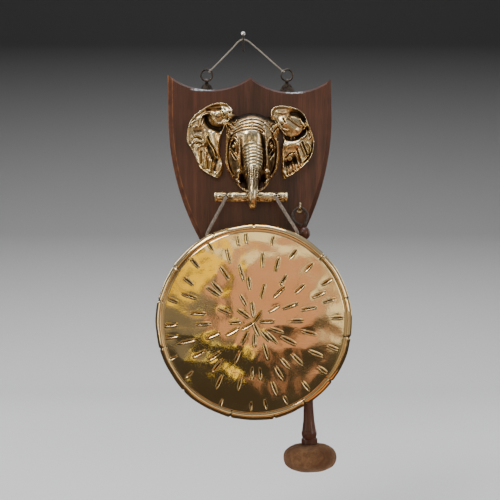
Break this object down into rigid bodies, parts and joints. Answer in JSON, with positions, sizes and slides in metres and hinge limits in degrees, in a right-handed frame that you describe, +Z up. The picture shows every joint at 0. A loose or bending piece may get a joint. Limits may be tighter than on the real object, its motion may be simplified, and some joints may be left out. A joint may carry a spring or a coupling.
{
  "type": "tam tam gong",
  "caption": "Wall-hung dinner gong: a hammered brass disc on two thongs from a bar held in a brass elephant's trunk, on a shield plaque, with its beater.",
  "frame": {"origin": "where the nail enters the wall, in the plane of the wall", "axes": "+Z up, +X to the right seen from the front, +Y into the wall; the gong faces -Y"},
  "size_m": [0.248, 0.1168, 0.5765],
  "materials": {
    "nail_steel": "bright, domed head",
    "string_twine": "waxed twisted twine",
    "ring_bronze": "dark tarnished wire",
    "plate_steel": "dark japanned",
    "plaque_wood": "lacquered mahogany",
    "cast_brass": "polished casting with dark recesses",
    "gong_brass": "polished, chased and lacquered",
    "hook_brass": "plain bright wire",
    "screw_steel": "plain",
    "thong_leather": "worn rawhide thong",
    "loop_leather": "dark thong",
    "handle_wood": "polished dark red-brown",
    "core_felt": "pressed wool felt",
    "cover_suede": "brown suede"
  },
  "bodies": {
    "wall_fixing": {"wall_nail": "nail_steel"},
    "hanging_loop": {"hanging_string": "string_twine", "string_knot_left": "string_twine", "string_knot_right": "string_twine", "hanger_ring_left": "ring_bronze", "hanger_ring_right": "ring_bronze"},
    "plaque": {"shield_board": "plaque_wood", "elephant_head": "cast_brass", "head_screws": "screw_steel", "ear_left": "cast_brass", "ear_right": "cast_brass", "ear_screws_left": "screw_steel", "ear_screws_right": "screw_steel", "gong_bar": "cast_brass", "bar_knot_left": "thong_leather", "bar_knot_right": "thong_leather", "hanger_plate_left": "plate_steel", "hanger_plate_right": "plate_steel", "hanger_screws_left": "screw_steel", "hanger_screws_right": "screw_steel", "beater_hook": "hook_brass"},
    "suspension": {"gong_cord_left": "thong_leather", "gong_cord_right": "thong_leather"},
    "gong": {"gong_disc": "gong_brass", "rim_knot_left": "thong_leather", "rim_knot_right": "thong_leather"},
    "beater_hanger": {"beater_loop": "loop_leather"},
    "beater": {"beater_handle": "handle_wood", "beater_core": "core_felt", "beater_cover": "cover_suede"}
  },
  "joints": [
    {"name": "plaque_level", "type": "hinge", "parent": "wall_fixing", "child": "hanging_loop", "pos_m": [0, -0.006, 0.00242], "axis": [0, 1, 0], "range_deg": [-5, 5]},
    {"name": "pull_out", "type": "hinge", "parent": "hanging_loop", "child": "plaque", "pos_m": [0.009, -0.00335, -0.0498], "axis": [-1, 0, 0], "range_deg": [0, 25]},
    {"name": "gong_swing", "type": "hinge", "parent": "plaque", "child": "suspension", "pos_m": [0.0103, -0.087, -0.2075], "axis": [-1, 0, 0], "range_deg": [-1.5, 30]},
    {"name": "gong_tilt", "type": "hinge", "parent": "suspension", "child": "gong", "pos_m": [0.014, -0.087, -0.25464], "axis": [-1, 0, 0], "range_deg": [-1, 12]},
    {"name": "beater_lift", "type": "slide", "parent": "plaque", "child": "beater_hanger", "axis": [0, 0, 1], "range_m": [0, 0.008]},
    {"name": "beater_sway", "type": "hinge", "parent": "beater_hanger", "child": "beater", "pos_m": [0.074, -0.0365, -0.221], "axis": [0, -1, 0], "range_deg": [-10, 12]}
  ]
}
